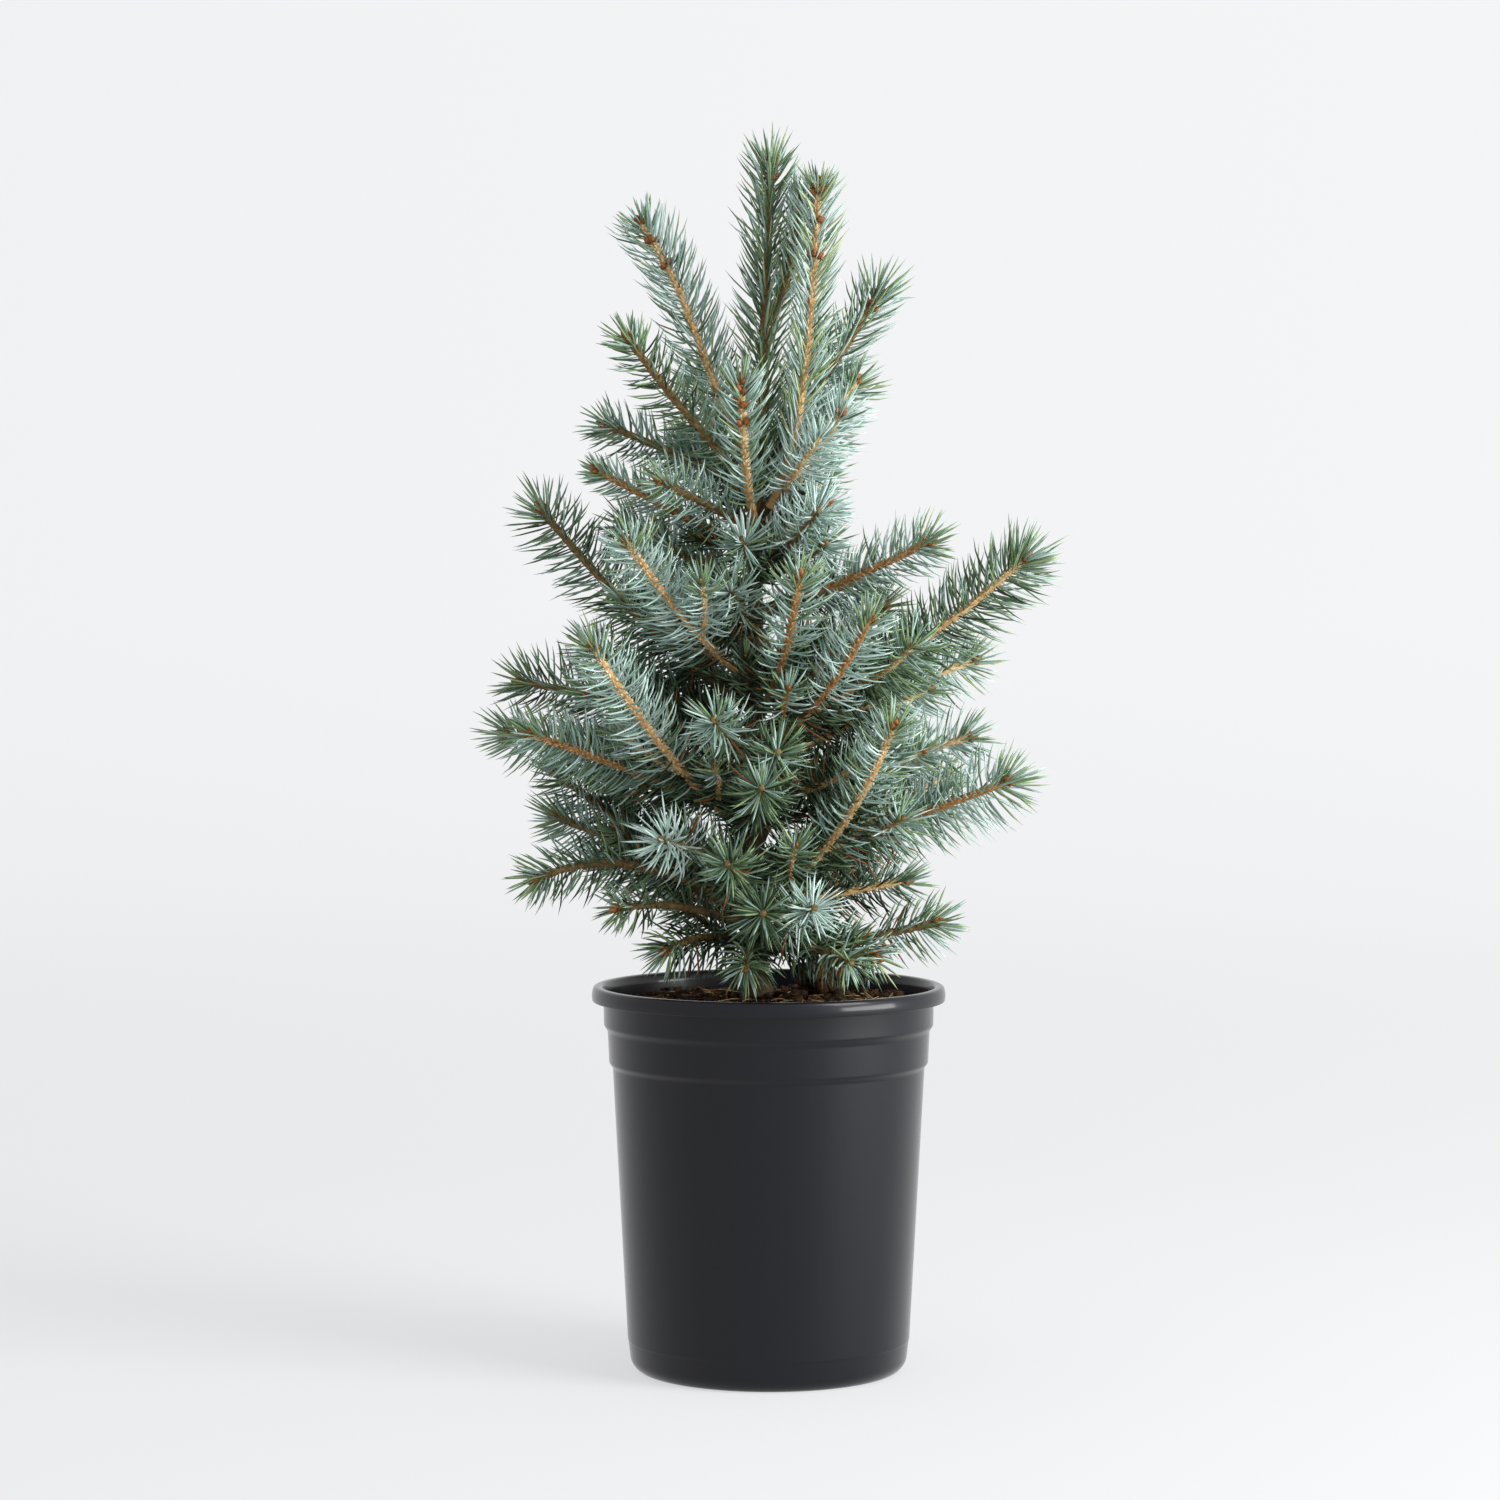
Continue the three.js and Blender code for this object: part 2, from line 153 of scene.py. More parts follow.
TOP_SHOOTS = {
    "coleader": Shoot(458, -39, 42, 632, 0.8, -78, dark=0.05, sides=0, tint="golden", spread=44,
                      tip_spread=36, lift=0.0, knots=(4, 19, 38), bud=5.4, tuft=0.6),
    "upper_left": Shoot(473, 167, 55, 616, 0.68, 14, dark=0.1, sides=0, spread=60, hook=10, lift=0.62,
                        knots=(13, 28), length=27.0, tuft=0.45),
    "upper_right": Shoot(483, 21, 70, 580, 0.5, -6, stem="olive", sides=0, spread=50,
                         knots=(10,), length=25.0, tuft=0.9),
    "second_left": Shoot(471, -162, 73, 553, 0.5, -6, stem="olive", sides=0, tint="deep", parted=0.3,
                         length=21.0),
    "third_left": Shoot(471, 165, 86, 508, 0.5, 2, stem="olive", sides=1, parted=0.1, length=21.0),
    "upper_front": Shoot(453, -100, 46, 529, 0.7, -22, dark=0.05, sides=0, spread=56, knots=(6, 13, 24)),
    "short_right": Shoot(461, -15, 47, 514, 0.6, -12, sides=1, tint="frost", fresh=False),
    "fourth_left": Shoot(438, -174, 86, 483, stem="orange", sides=0, length=16.0, spread=62),
    "fifth_left": Shoot(418, 156, 80, 455, 0.5, 4, stem="olive", sides=1),
    "upper_back": Shoot(458, 125, 58, 536, 0.6, -12, sides=1),
    "upper_back_right": Shoot(443, 70, 64, 508, 0.6, -8, sides=1, tint="pale"),
}
MIDDLE_SHOOTS = {
    "mid_left": Shoot(353, 172, 117, 463, 0.5, -16, stem="olive", parted=0.2, lift=-0.25, length=27.0,
                      spread=78, tint="deep"),
    "mid_front_left": Shoot(367, -130, 104, 445, 0.5, -12, dark=0.1, tint="pale"),
    "short_front": star(428, -60, 66, 461, -6, "pale"),
    "short_mid_right": Shoot(408, -18, 97, 445, 0.5, -6, stem="orange", sides=1),
    "mid_right": Shoot(338, -14, 147, 436, 0.5, -15, tint="deep", parted=0.42, lift=-0.04, length=28.0,
                       spread=76, tuft=0.85, per_mm=3.0),
    "mid_back_right": Shoot(343, 14, 123, 381, 0.5, -4, tint="pale", lift=-0.1),
    "lower_mid_right": Shoot(303, -6, 116, 341, sides=3, tint="pale"),
    "mid_front": Shoot(348, -72, 75, 427, 0.65, -20, stem="orange", sides=1),
    "mid_front_right": Shoot(333, -49, 91, 405, 0.6, -18, stem="orange", sides=1, tint="pale"),
    "long_front_left": Shoot(288, -133, 123, 391, 0.45, -26, dark=0.12, tint="pale"),
    "lower_mid_left": Shoot(328, 169, 130, 369, 0.5, 12, stem="olive", parted=0.0, lift=0.36,
                            length=26.0, tint="deep"),
    "far_left": Shoot(298, -176, 134, 343, 0.5, 6, stem="orange", sides=3, parted=0.1, lift=-0.1,
                      length=25.0, tint="green"),
    "front_star": star(328, -104, 90, 353, -4),
    "back_mid_right": Shoot(328, 46, 128, 395, 0.5, -10),
    "back_mid": Shoot(348, 92, 120, 413, 0.5, -10, tint="pale"),
    "back_mid_left": Shoot(378, 128, 100, 443, 0.5, -8),
}
SKIRT_SHOOTS = {
    "low_right": Shoot(268, -17, 140, 319, 0.5, -2, stem="orange", sides=3, lift=-0.15, parted=0.3,
                       length=28.0, spread=80, per_mm=2.5),
    "lowest_right": Shoot(227, -8, 98, 242, 0.5, -5, stem="olive", sides=1, lift=-0.3, bare=0.65),
    "low_front_right": Shoot(253, -48, 107, 350, 0.6, -28),
    "low_front": star(295, -88, 95, 318, tint="deep"),
    "low_front_left": star(265, -121, 96, 291, 2, "frost", length=27.0),
    "lowest_front": star(235, -88, 90, 253, 6, "deep", lift=-0.1),
    "droop_front_right": star(223, -54, 84, 225, 12, "green", lift=-0.35, length=21.0),
    "low_left": Shoot(253, 165, 113, 320, 0.5, -8, stem="olive", sides=3, tint="deep"),
    "lowest_left": Shoot(237, -164, 123, 266, 0.5, 40, stem="olive", sides=1, bare=0.3, lift=0.1,
                         tint="deep"),
    "droop_front_left": Shoot(235, -140, 96, 253, 0.5, 14, stem="olive", sides=0, tip_spread=42,
                              parted=0.1, lift=-0.2, bare=0.72, length=20.0, tint="deep"),
    "low_back_right": Shoot(265, 35, 130, 315),
    "low_back": Shoot(278, 78, 126, 328, 0.5, -2, tint="pale"),
    "low_back_left": Shoot(293, 120, 130, 348, 0.5, -2),
    "lowest_back_right": Shoot(237, 62, 106, 261, 0.5, 8, bare=0.3),
    "lowest_back": Shoot(241, 122, 110, 267, 0.5, 8, bare=0.3),
}
CROWN = {"top": TOP_SHOOTS, "middle": MIDDLE_SHOOTS, "skirt": SKIRT_SHOOTS}

# Lesser shoots that fill the crown between the main ones.
LESSER_SHOOTS = {
    "top": [
        Shoot(451, -143, 64, 477, stem="olive", sides=0),
        Shoot(473, 12, 54, 531, arch=-10, sides=0, tint="pale", length=25.0),
        Shoot(439, -25, 42, 465, sides=0, tint="frost", fresh=False),
        Shoot(473, 45, 46, 555, arch=-20, sides=0),
        Shoot(560, -30, 22, 630, 0.7, -24, stem="olive", dark=0.0, sides=0, tint="golden", spread=38,
              bare=0.2, length=17.0, bud=4.4, knots=(9,)),
    ],
    "middle": [
        star(423, -50, 58, 444, -4, "pale"),
        star(426, -98, 50, 446, -4),
        star(396, -104, 58, 421, -4),
        Shoot(375, 6, 70, 411, arch=-6, sides=0, tint="pale"),
        Shoot(308, 20, 84, 341, sides=0),
        Shoot(323, 10, 96, 366, sides=0, tint="pale", lift=-0.1),
        Shoot(339, 170, 92, 389, arch=-4, stem="olive", sides=1, tint="pale"),
        Shoot(331, -168, 92, 365, stem="olive", sides=0),
        Shoot(293, -157, 129, 344, arch=5, stem="orange", sides=1),
        star(313, -82, 86, 336, tint="deep"),
    ],
    "skirt": [
        Shoot(255, 172, 110, 297, stem="olive", sides=1),
        Shoot(248, 12, 84, 262, sides=0, bare=0.3),
        Shoot(229, -38, 80, 226, arch=12, stem="olive", sides=0, tip_spread=40, parted=0.0, lift=-0.2,
              bare=0.5),
        star(255, -99, 95, 279, tint="deep"),
        star(233, -72, 96, 256, 0, "frost", lift=-0.1),
        Shoot(227, -96, 60, 221, arch=12, stem="olive", sides=0, tip_spread=40, parted=0.0, lift=-0.5,
              bud=2.4, tint="green"),
        Shoot(229, -138, 66, 229, arch=12, stem="olive", sides=1, parted=0.0, lift=-0.5),
        Shoot(243, 142, 104, 271, sides=1, bare=0.3),
        Shoot(241, 92, 100, 259, sides=1, bare=0.3),
    ],
}

# ---- colours


def rgb(red, green, blue):
    """A colour written as 0-255 screen values, as the linear values that shaders take."""
    parts = []
    for value in (red, green, blue):
        c = value / 255
        parts.append(c / 12.92 if c <= 0.04045 else ((c + 0.055) / 1.055) ** 2.4)
    return (*parts, 1.0)


NEEDLE_TINTS = {
    "frost": rgb(180, 200, 194),
    "pale": rgb(152, 178, 167),
    "blue": rgb(124, 150, 138),
    "green": rgb(116, 140, 100),
    # The next tint is a dark green that some needles have; on sprays that stand in shade it is also
    # painted shade.
    "deep": rgb(70, 94, 68),
    # The next tint, a near-black green, is painted shade.
    "painted_shade": rgb(34, 48, 28),
    "rust": rgb(128, 82, 46),
    "golden": rgb(158, 170, 122),
}
# The chance of each tint, in the order above, on sprays of each kind.
SPRAYS = {
    "frost": (0.50, 0.36, 0.12, 0, 0.02, 0, 0, 0),
    "pale": (0.30, 0.40, 0.22, 0.04, 0.04, 0, 0, 0),
    "blue": (0.12, 0.32, 0.34, 0.12, 0.10, 0, 0, 0),
    "green": (0.02, 0.14, 0.26, 0.44, 0.12, 0, 0, 0.02),
    # Sprays of the next kind go to shoots that stand in shade; their many dark green and near-black
    # needles are partly painted shade.
    "deep": (0, 0.05, 0.20, 0.27, 0.40, 0.08, 0, 0),
    "fresh": (0.02, 0.14, 0.20, 0.56, 0.05, 0, 0, 0.03),
    "golden": (0.14, 0.28, 0.18, 0.16, 0.02, 0, 0, 0.22),
    "leader": (0, 0.12, 0.22, 0.38, 0.22, 0, 0, 0.06),
    # The next spray, mostly dark tints, is painted shade for needles near the trunk and on the short
    # shoots there.
    "painted_shade": (0, 0, 0.06, 0.12, 0.38, 0.38, 0.06, 0),
}

# ---- materials


def plain_material(name, color, roughness, specular=0.4):
    material = bpy.data.materials.new(name)
    material.use_nodes = True
    shader = material.node_tree.nodes["Principled BSDF"]
    shader.inputs["Base Color"].default_value = color
    shader.inputs["Roughness"].default_value = roughness
    shader.inputs["Specular IOR Level"].default_value = specular
    return material


def add_relief(material, scale, detail, strength, distance):
    """A fine bumpy grain on a material."""
    nodes, links = material.node_tree.nodes, material.node_tree.links
    place = nodes.new("ShaderNodeTexCoord")
    grain = nodes.new("ShaderNodeTexNoise")
    grain.inputs["Scale"].default_value = scale
    grain.inputs["Detail"].default_value = detail
    relief = nodes.new("ShaderNodeBump")
    relief.inputs["Strength"].default_value = strength
    relief.inputs["Distance"].default_value = distance
    links.new(place.outputs["Object"], grain.inputs["Vector"])
    links.new(grain.outputs["Fac"], relief.inputs["Height"])
    links.new(relief.outputs["Normal"], nodes["Principled BSDF"].inputs["Normal"])


def mottled_material(name, dark, light, scale, roughness, bump=0.0, bump_scale=1.0, specular=0.3):
    """A material whose colour wanders between two tones, with a fine relief."""
    material = plain_material(name, light, roughness, specular)
    nodes, links = material.node_tree.nodes, material.node_tree.links
    shader = nodes["Principled BSDF"]
    place = nodes.new("ShaderNodeTexCoord")
    noise = nodes.new("ShaderNodeTexNoise")
    noise.inputs["Scale"].default_value = scale
    noise.inputs["Detail"].default_value = 5
    ramp = nodes.new("ShaderNodeValToRGB")
    ramp.color_ramp.elements[0].position = 0.32
    ramp.color_ramp.elements[0].color = dark
    ramp.color_ramp.elements[1].position = 0.68
    ramp.color_ramp.elements[1].color = light
    links.new(place.outputs["Object"], noise.inputs["Vector"])
    links.new(noise.outputs["Fac"], ramp.inputs["Fac"])
    links.new(ramp.outputs["Color"], shader.inputs["Base Color"])
    if bump:
        add_relief(material, scale * bump_scale, 4, bump, 0.0004)
    return material


NEEDLE_MATERIALS = [plain_material("needle_" + name, color, roughness=0.5)
                    for name, color in NEEDLE_TINTS.items()]
STEM_MATERIALS = {
    "dark": mottled_material("old_bark", rgb(52, 42, 28), rgb(92, 74, 50), 500, 0.85, 0.6),
    "cream": mottled_material("cream_bark", rgb(186, 152, 104), rgb(232, 208, 164), 420, 0.7, 0.5),
    "tan": mottled_material("tan_bark", rgb(150, 110, 64), rgb(204, 166, 112), 420, 0.7, 0.5),
    "orange": mottled_material("orange_bark", rgb(112, 74, 38), rgb(164, 114, 64), 420, 0.7, 0.5),
    "olive": mottled_material("olive_bark", rgb(82, 66, 38), rgb(132, 108, 66), 420, 0.75, 0.5),
}
STEM_NAMES = list(STEM_MATERIALS)
# The pegs that carry the needles are lighter than the bark between them: partly their own colour, partly
# a painted highlight on the ridges they raise.
PEGS_OF = {"tan": "cream", "orange": "tan", "olive": "olive"}
BUD_MATERIAL = mottled_material("bud_scales", rgb(96, 58, 28), rgb(164, 108, 58), 900, 0.6, 0.4)

# ---- mesh making


def new_object(name, data):
    made = bpy.data.objects.new(name, data)
    bpy.context.scene.collection.objects.link(made)
    return made


class Pile:
    """Triangles gathered for one piece, each with the number of its material."""

    def __init__(self):
        self.points = []
        self.triangles = []
        self.slots = []
        self.count = 0

    def add(self, points, triangles, slot=0):
        points = np.asarray(points, dtype=np.float64).reshape(-1, 3)
        triangles = np.asarray(triangles, dtype=np.int64).reshape(-1, 3)
        self.points.append(points)
        self.triangles.append(triangles + self.count)
        self.slots.append(np.broadcast_to(np.asarray(slot, dtype=np.int32), len(triangles)))
        self.count += len(points)

    def make(self, name, materials, record_slot, smooth=True):
        """The piece, riding the body. record_slot is not used."""
        points = np.concatenate(self.points) * MM
        triangles = np.concatenate(self.triangles)
        slots = np.concatenate(self.slots)
        mesh = bpy.data.meshes.new(name)
        mesh.vertices.add(len(points))
        mesh.vertices.foreach_set("co", points.ravel())
        mesh.loops.add(triangles.size)
        mesh.loops.foreach_set("vertex_index", triangles.ravel().astype(np.int32))
        mesh.polygons.add(len(triangles))
        mesh.polygons.foreach_set("loop_start", np.arange(0, triangles.size, 3, dtype=np.int32))
        mesh.polygons.foreach_set("material_index", slots)
        mesh.polygons.foreach_set("use_smooth", np.full(len(triangles), smooth))
        for material in materials:
            mesh.materials.append(material)
        mesh.update(calc_edges=True)
        mesh.validate()
        piece = new_object(name, mesh)
        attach(piece, "root")
        return piece


def ring_triangles(rings, sides):
    """Triangles of a tube of rings, ring after ring, each with the same number of corners."""
    ring = np.arange(rings - 1)[:, None] * sides
    side = np.arange(sides)[None, :]
    following = (side + 1) % sides
    a, b = ring + side, ring + following
    c, d = a + sides, b + sides
    return np.concatenate([np.stack([a, b, d], -1).reshape(-1, 3),
                           np.stack([a, d, c], -1).reshape(-1, 3)])


def tube_triangles(rings, sides):
    """The same, closed by a fan at the foot and one at the tip, round two points that follow."""
    side = np.arange(sides)
    following = (side + 1) % sides
    foot = rings * sides
    top = foot - sides
    return np.concatenate([ring_triangles(rings, sides),
                           np.stack([np.full(sides, foot), following, side], -1),
                           np.stack([np.full(sides, foot + 1), top + side, top + following], -1)])


def angles_round(sides):
    return np.arange(sides) * 2 * math.pi / sides


def unit(vectors):
    return vectors / np.maximum(np.linalg.norm(vectors, axis=-1, keepdims=True), 1e-9)


# ---- lines


def trunk_offset(height):
    """The trunk's sideways lean at a height, eased between the named levels."""
    level = np.clip(np.searchsorted(TRUNK_LEAN_HEIGHTS, height), 1, len(TRUNK_LEAN_HEIGHTS) - 1)
    low, high = TRUNK_LEAN_HEIGHTS[level - 1], TRUNK_LEAN_HEIGHTS[level]
    share = np.clip((height - low) / (high - low), 0, 1)
    ease = share * share * (3 - 2 * share)
    start, end = TRUNK_LEAN_OFFSETS[level - 1], TRUNK_LEAN_OFFSETS[level]
    return start + (end - start) * ease


def trunk_radius(height):
    share = np.clip((height - TRUNK_FOOT) / (TRUNK_TOP - TRUNK_FOOT), 0, 1)
    taper = TRUNK_RADIUS + (TRUNK_TOP_RADIUS - TRUNK_RADIUS) * share ** 0.85
    return taper + TRUNK_FLARE * np.exp(-(height - TRUNK_FOOT) / TRUNK_FLARE_FALL)


def on_trunk(height):
    """The middle of the trunk at a height."""
    return np.array([trunk_offset(height), 0.0, height])


def trunk_line(low, high, step):
    heights = np.linspace(low, high, int((high - low) / step) + 1)
    return np.array([on_trunk(z) for z in heights])


def outward_at(turn):
    return np.array([math.cos(turn), math.sin(turn), 0.0])


def curve(start, bend, end):
    """Points every LINE_STEP along a quadratic curve."""
    start, bend, end = (np.asarray(p, dtype=float) for p in (start, bend, end))
    t = np.linspace(0, 1, 60)[:, None]
    rough = (1 - t) ** 2 * start + 2 * t * (1 - t) * bend + t ** 2 * end
    along = np.concatenate([[0], np.cumsum(np.linalg.norm(np.diff(rough, axis=0), axis=1))])
    even = np.linspace(0, along[-1], max(int(along[-1] / LINE_STEP), 4) + 1)
    return np.stack([np.interp(even, along, rough[:, k]) for k in range(3)], axis=1)


class Stem:
    """A line with its length, its direction and two directions across it at every point."""

    def __init__(self, points):
        self.points = points
        self.along = np.concatenate([[0], np.cumsum(np.linalg.norm(np.diff(points, axis=0), axis=1))])
        self.length = self.along[-1]
        self.ahead = unit(np.gradient(points, axis=0))
        across = np.empty_like(points)
        guess = UP if abs(self.ahead[0, 2]) < 0.9 else RIGHT
        for i, ahead in enumerate(self.ahead):
            guess = guess - ahead * np.dot(guess, ahead)
            guess = guess / np.linalg.norm(guess)
            across[i] = guess
        self.across = across
        self.over = np.cross(self.ahead, across)

    def at(self, distance, values):
        return np.stack([np.interp(distance, self.along, values[:, k]) for k in range(3)], axis=-1)


def shoot_curve(shoot):
    """From the middle of the trunk to the shoot's end bud, as in the CAD frame."""
    outward = outward_at(shoot.turn)
    foot = on_trunk(shoot.leaves)
    bend = foot + outward * shoot.out * shoot.reach
    bend[2] = (shoot.leaves + shoot.tip) / 2 + shoot.arch
    end = foot + outward * shoot.reach
    end[2] = shoot.tip
    points = curve(foot, bend, end)
    share = np.linspace(0, 1, len(points))[:, None]
    return points + outward * shoot.hook * (np.clip(share - 0.65, 0, 1) / 0.35) ** 2


# ---- needles, pegs, stems, buds


def stand_needles(stem, start, end, per_mm, length, spread, tip_spread, lift, radius_at,
                  parted, bare_side, tuft):
    """Where needles stand on a stem.

    The needles of the bare side part to the left and right, as far as parted says. What comes
    back for each needle is its root, its directions at the root and at the tip, its length, the
    ways out of the stem and along it, and a share that falls from 1 to 0 at the stem's tip.
    """
    # Their places along the stem, closer near the tip, and round it, on a spiral.
    crowded = min(TUFT_LENGTH, (end - start) / 2)
    count = max(int((end - start + crowded) * per_mm), 1)
    place = start + (np.arange(count) + rng.uniform(0, 1, count)) * (end - start + crowded) / count
    place = np.where(place > end - crowded, end - (end + crowded - place) / 2, place)
    angle = np.arange(count) * GOLDEN_ANGLE + rng.normal(0, 0.2, count)
    angle = (angle + math.pi) % (2 * math.pi) - math.pi
    # The way out from the stem, before and after parting.
    ahead = unit(stem.at(place, stem.ahead))
    upper = -np.asarray(bare_side, dtype=float)
    upper = unit(upper - ahead * (ahead @ upper)[:, None])
    side = np.cross(ahead, upper)
    to_tip = np.clip((stem.length - place) / TIP_STRETCH, 0, 1) ** 0.8
    swept = angle * (1 - parted * to_tip * (np.abs(angle) / math.pi) ** 1.5)
    outward = upper * np.cos(angle)[:, None] + side * np.sin(angle)[:, None]
    parting = upper * np.cos(swept)[:, None] + side * np.sin(swept)[:, None]
    # The lean from the stem, uneven in clumps and at random on the last three millimetres.
    clumps = 6 * np.sin(place * 1.3 + 2 * angle) + rng.normal(0, 8, count)
    folded = np.where(place > end - 3.0, rng.uniform(0.35, 1.15, count), 1.0)
    lean = np.radians((tip_spread + (spread - tip_spread) * to_tip) * folded + clumps)
    first = unit(0.5 * outward + 0.5 * parting)
    root_way = unit(ahead * np.cos(lean)[:, None] + first * np.sin(lean)[:, None]
                    + rng.normal(0, 0.06, (count, 3)))
    # The needle bends forward, sideways and up on its way to its tip.
    bend = (ahead * (FORWARD_BEND * to_tip)[:, None] + 0.3 * (parting - first)
            + UP * (lift * to_tip)[:, None])
    tip_way = unit(root_way + bend + rng.normal(0, 0.08, (count, 3)))
    young = np.clip((place - start) / 10.0, 0.35, 1)
    size = length * rng.uniform(0.74, 1.1, count) * (0.62 + 0.38 * young) * (tuft + (1 - tuft) * to_tip)
    roots = stem.at(place, stem.points) + outward * radius_at(place)[:, None] * 0.9
    return roots, root_way, tip_way, size, outward, ahead, to_tip


def add_needles(pile, roots, root_way, tip_way, size, slots):
    """Three-sided curved needles, each drawn out to a point."""
    count = len(roots)
    helper = np.where(np.abs(root_way[:, 2:3]) < 0.85, UP, RIGHT)
    side = unit(np.cross(root_way, helper))
    over = np.cross(root_way, side)
    turn = rng.uniform(0, 2 * math.pi, count)
    thick = NEEDLE_RADIUS * rng.uniform(0.85, 1.12, count)
    corners = []
    for share, width in NEEDLE_RINGS:
        middle = roots + size[:, None] * (root_way * share + (tip_way - root_way) * share ** 2 / 2)
        for corner in range(3):
            angle = turn + corner * 2 * math.pi / 3
            reach = side * np.cos(angle)[:, None] + over * np.sin(angle)[:, None]
            corners.append(middle + reach * (thick * width)[:, None])
    corners.append(roots + size[:, None] * (root_way + tip_way) / 2)
    points = np.stack(corners, axis=1)
    last = len(NEEDLE_RINGS) * 3
    body = ring_triangles(len(NEEDLE_RINGS), 3)
    tip = np.array([[last - 3, last - 2, last], [last - 2, last - 1, last], [last - 1, last - 3, last]])
    one = np.concatenate([body, tip])
    triangles = one[None] + (np.arange(count) * (last + 1))[:, None, None]
    pile.add(points, triangles, np.repeat(slots, len(one)))


def add_pegs(pile, roots, outward, ahead, slot):
    """The small woody pegs that carry the needles and make a shoot look like rope."""
    count = len(roots)
    side = np.cross(ahead, outward)
    foot = roots - outward * PEG_SINK
    back = foot - ahead * PEG_LENGTH
    left = foot + side * PEG_HALF_WIDTH
    right = foot - side * PEG_HALF_WIDTH
    crest = roots + outward * PEG_RISE + ahead * 0.2
    points = np.stack([back, left, right, crest], axis=1)
    one = np.array([[0, 3, 1], [0, 2, 3], [1, 3, 2]])
    triangles = one[None] + (np.arange(count) * 4)[:, None, None]
    pile.add(points, triangles, slot)


def add_stem(pile, stem, radii, slots, sides, roughness):
    """A closed tapering stem. slots gives a material number for each of its stretches."""
    rings = len(stem.points)
    angle = angles_round(sides)
    across = (stem.across[:, None] * np.cos(angle)[None, :, None]
              + stem.over[:, None] * np.sin(angle)[None, :, None])
    reach = radii[:, None] * (1 + roughness * rng.normal(0, 1, (rings, sides)))
    points = (stem.points[:, None] + across * reach[..., None]).reshape(-1, 3)
    ends = np.stack([stem.points[0], stem.points[-1] + stem.ahead[-1] * radii[-1] * 0.6])
    band = np.tile(np.repeat(slots[:-1], sides), 2)
    slot = np.concatenate([band, np.full(sides, slots[0]), np.full(sides, slots[-1])])
    pile.add(np.concatenate([points, ends]), tube_triangles(rings, sides), slot)


def add_bud(pile, place, way, size):
    """A pointed bud with a ruff of loose scales round its foot."""
    way = unit(np.asarray(way, dtype=float))
    side = unit(np.cross(way, UP if abs(way[2]) < 0.9 else RIGHT))
    over = np.cross(way, side)
    angle = angles_round(BUD_SIDES) + rng.uniform(0, 6)
    points = []
    for share, width in BUD_RINGS:
        turn = angle + share * 0.9
        bulge = width * size * (1 + 0.08 * rng.normal(0, 1, BUD_SIDES))
        points.append(place + way * share * size
                      + side * (np.cos(turn) * bulge)[:, None] + over * (np.sin(turn) * bulge)[:, None])
    pile.add(np.concatenate(points), ring_triangles(len(BUD_RINGS), BUD_SIDES))
    for turn in angle:
        out = side * math.cos(turn) + over * math.sin(turn)
        across = np.cross(way, out)
        foot = place + out * size * 0.3
        tip = foot + (out * 0.42 + way * rng.uniform(0.05, 0.5)) * size
        pile.add([foot + across * size * 0.17, foot - across * size * 0.17, tip,
                  foot - way * size * 0.16], [[0, 1, 2], [1, 3, 2], [3, 0, 2]])


# ---- the branching rule

needle_piles = {}
for part in CROWN:
    for half in ("front", "back"):
        needle_piles[f"{part}_{half}"] = Pile()
limb_pile = Pile()
twig_pile = Pile()
peg_pile = Pile()
bud_pile = Pile()


def pile_for(part, points):
    """The front or back pile of a part of the crown, by where a stem ends."""
    half = "front" if points[-1][1] <= 0 else "back"
    return needle_piles[f"{part}_{half}"]


def clothe(part, stem, start, kind, stem_slot, length, spread, tip_spread, lift, radius_at,
           per_mm=NEEDLES_PER_MM, pegs=True, parted=PARTED, bare_side=(0, -0.35, -1), fresh=True,
           tuft=TUFT_SHARE):
    """Needles, and the pegs under them, on a stem from start to its tip.

    Each needle gets its tint by chance. Below the top, those near the trunk get a shaded one, and
    fresh gives greener ones to the end of the stem.
    """
    stood = stand_needles(stem, start, stem.length - 0.3, per_mm, length, spread, tip_spread,
                          lift, radius_at, parted, bare_side, tuft)
    roots, root_way, tip_way, size, outward, ahead, to_tip = stood
    slots = rng.choice(len(NEEDLE_TINTS), len(roots), p=SPRAYS[kind])
    # Below the top, needles near the trunk are dealt the darkest tints instead: painted shade.
    if part != "top":
        shaded = rng.choice(len(NEEDLE_TINTS), len(roots), p=SPRAYS["painted_shade"])
        from_trunk = np.hypot(roots[:, 0] - trunk_offset(CROWN_MIDDLE), roots[:, 1])
        shade = np.interp(roots[:, 2], SHADE_HEIGHTS, SHADE_REACHES)
        slots = np.where(from_trunk < rng.uniform(0.55, 1.0, len(roots)) * shade, shaded, slots)
    if fresh:
        newest = rng.choice(len(NEEDLE_TINTS), len(roots), p=SPRAYS["fresh"])
        slots = np.where(to_tip < rng.uniform(0.2, 1.0, len(roots)), newest, slots)
    add_needles(pile_for(part, stem.points), roots, root_way, tip_way, size, slots)
    if pegs:
        add_pegs(peg_pile, roots, outward, ahead, stem_slot)


def bud_knot(stem, below_tip, size):
    """A ring of buds round the stem below its tip."""
    place = np.array([max(stem.length - below_tip, 0)])
    middle, ahead = stem.at(place, stem.points)[0], unit(stem.at(place, stem.ahead))[0]
    across, over = stem.at(place, stem.across)[0], stem.at(place, stem.over)[0]
    for k in range(5):
        angle = k * 2 * math.pi / 5 + rng.uniform(-0.4, 0.4)
        out = across * math.cos(angle) + over * math.sin(angle)
        foot = middle + out * 1.6 + ahead * rng.uniform(-1.5, 1.5)
        add_bud(bud_pile, foot, out * 0.8 + ahead * 0.7, size * rng.uniform(0.8, 1.15))


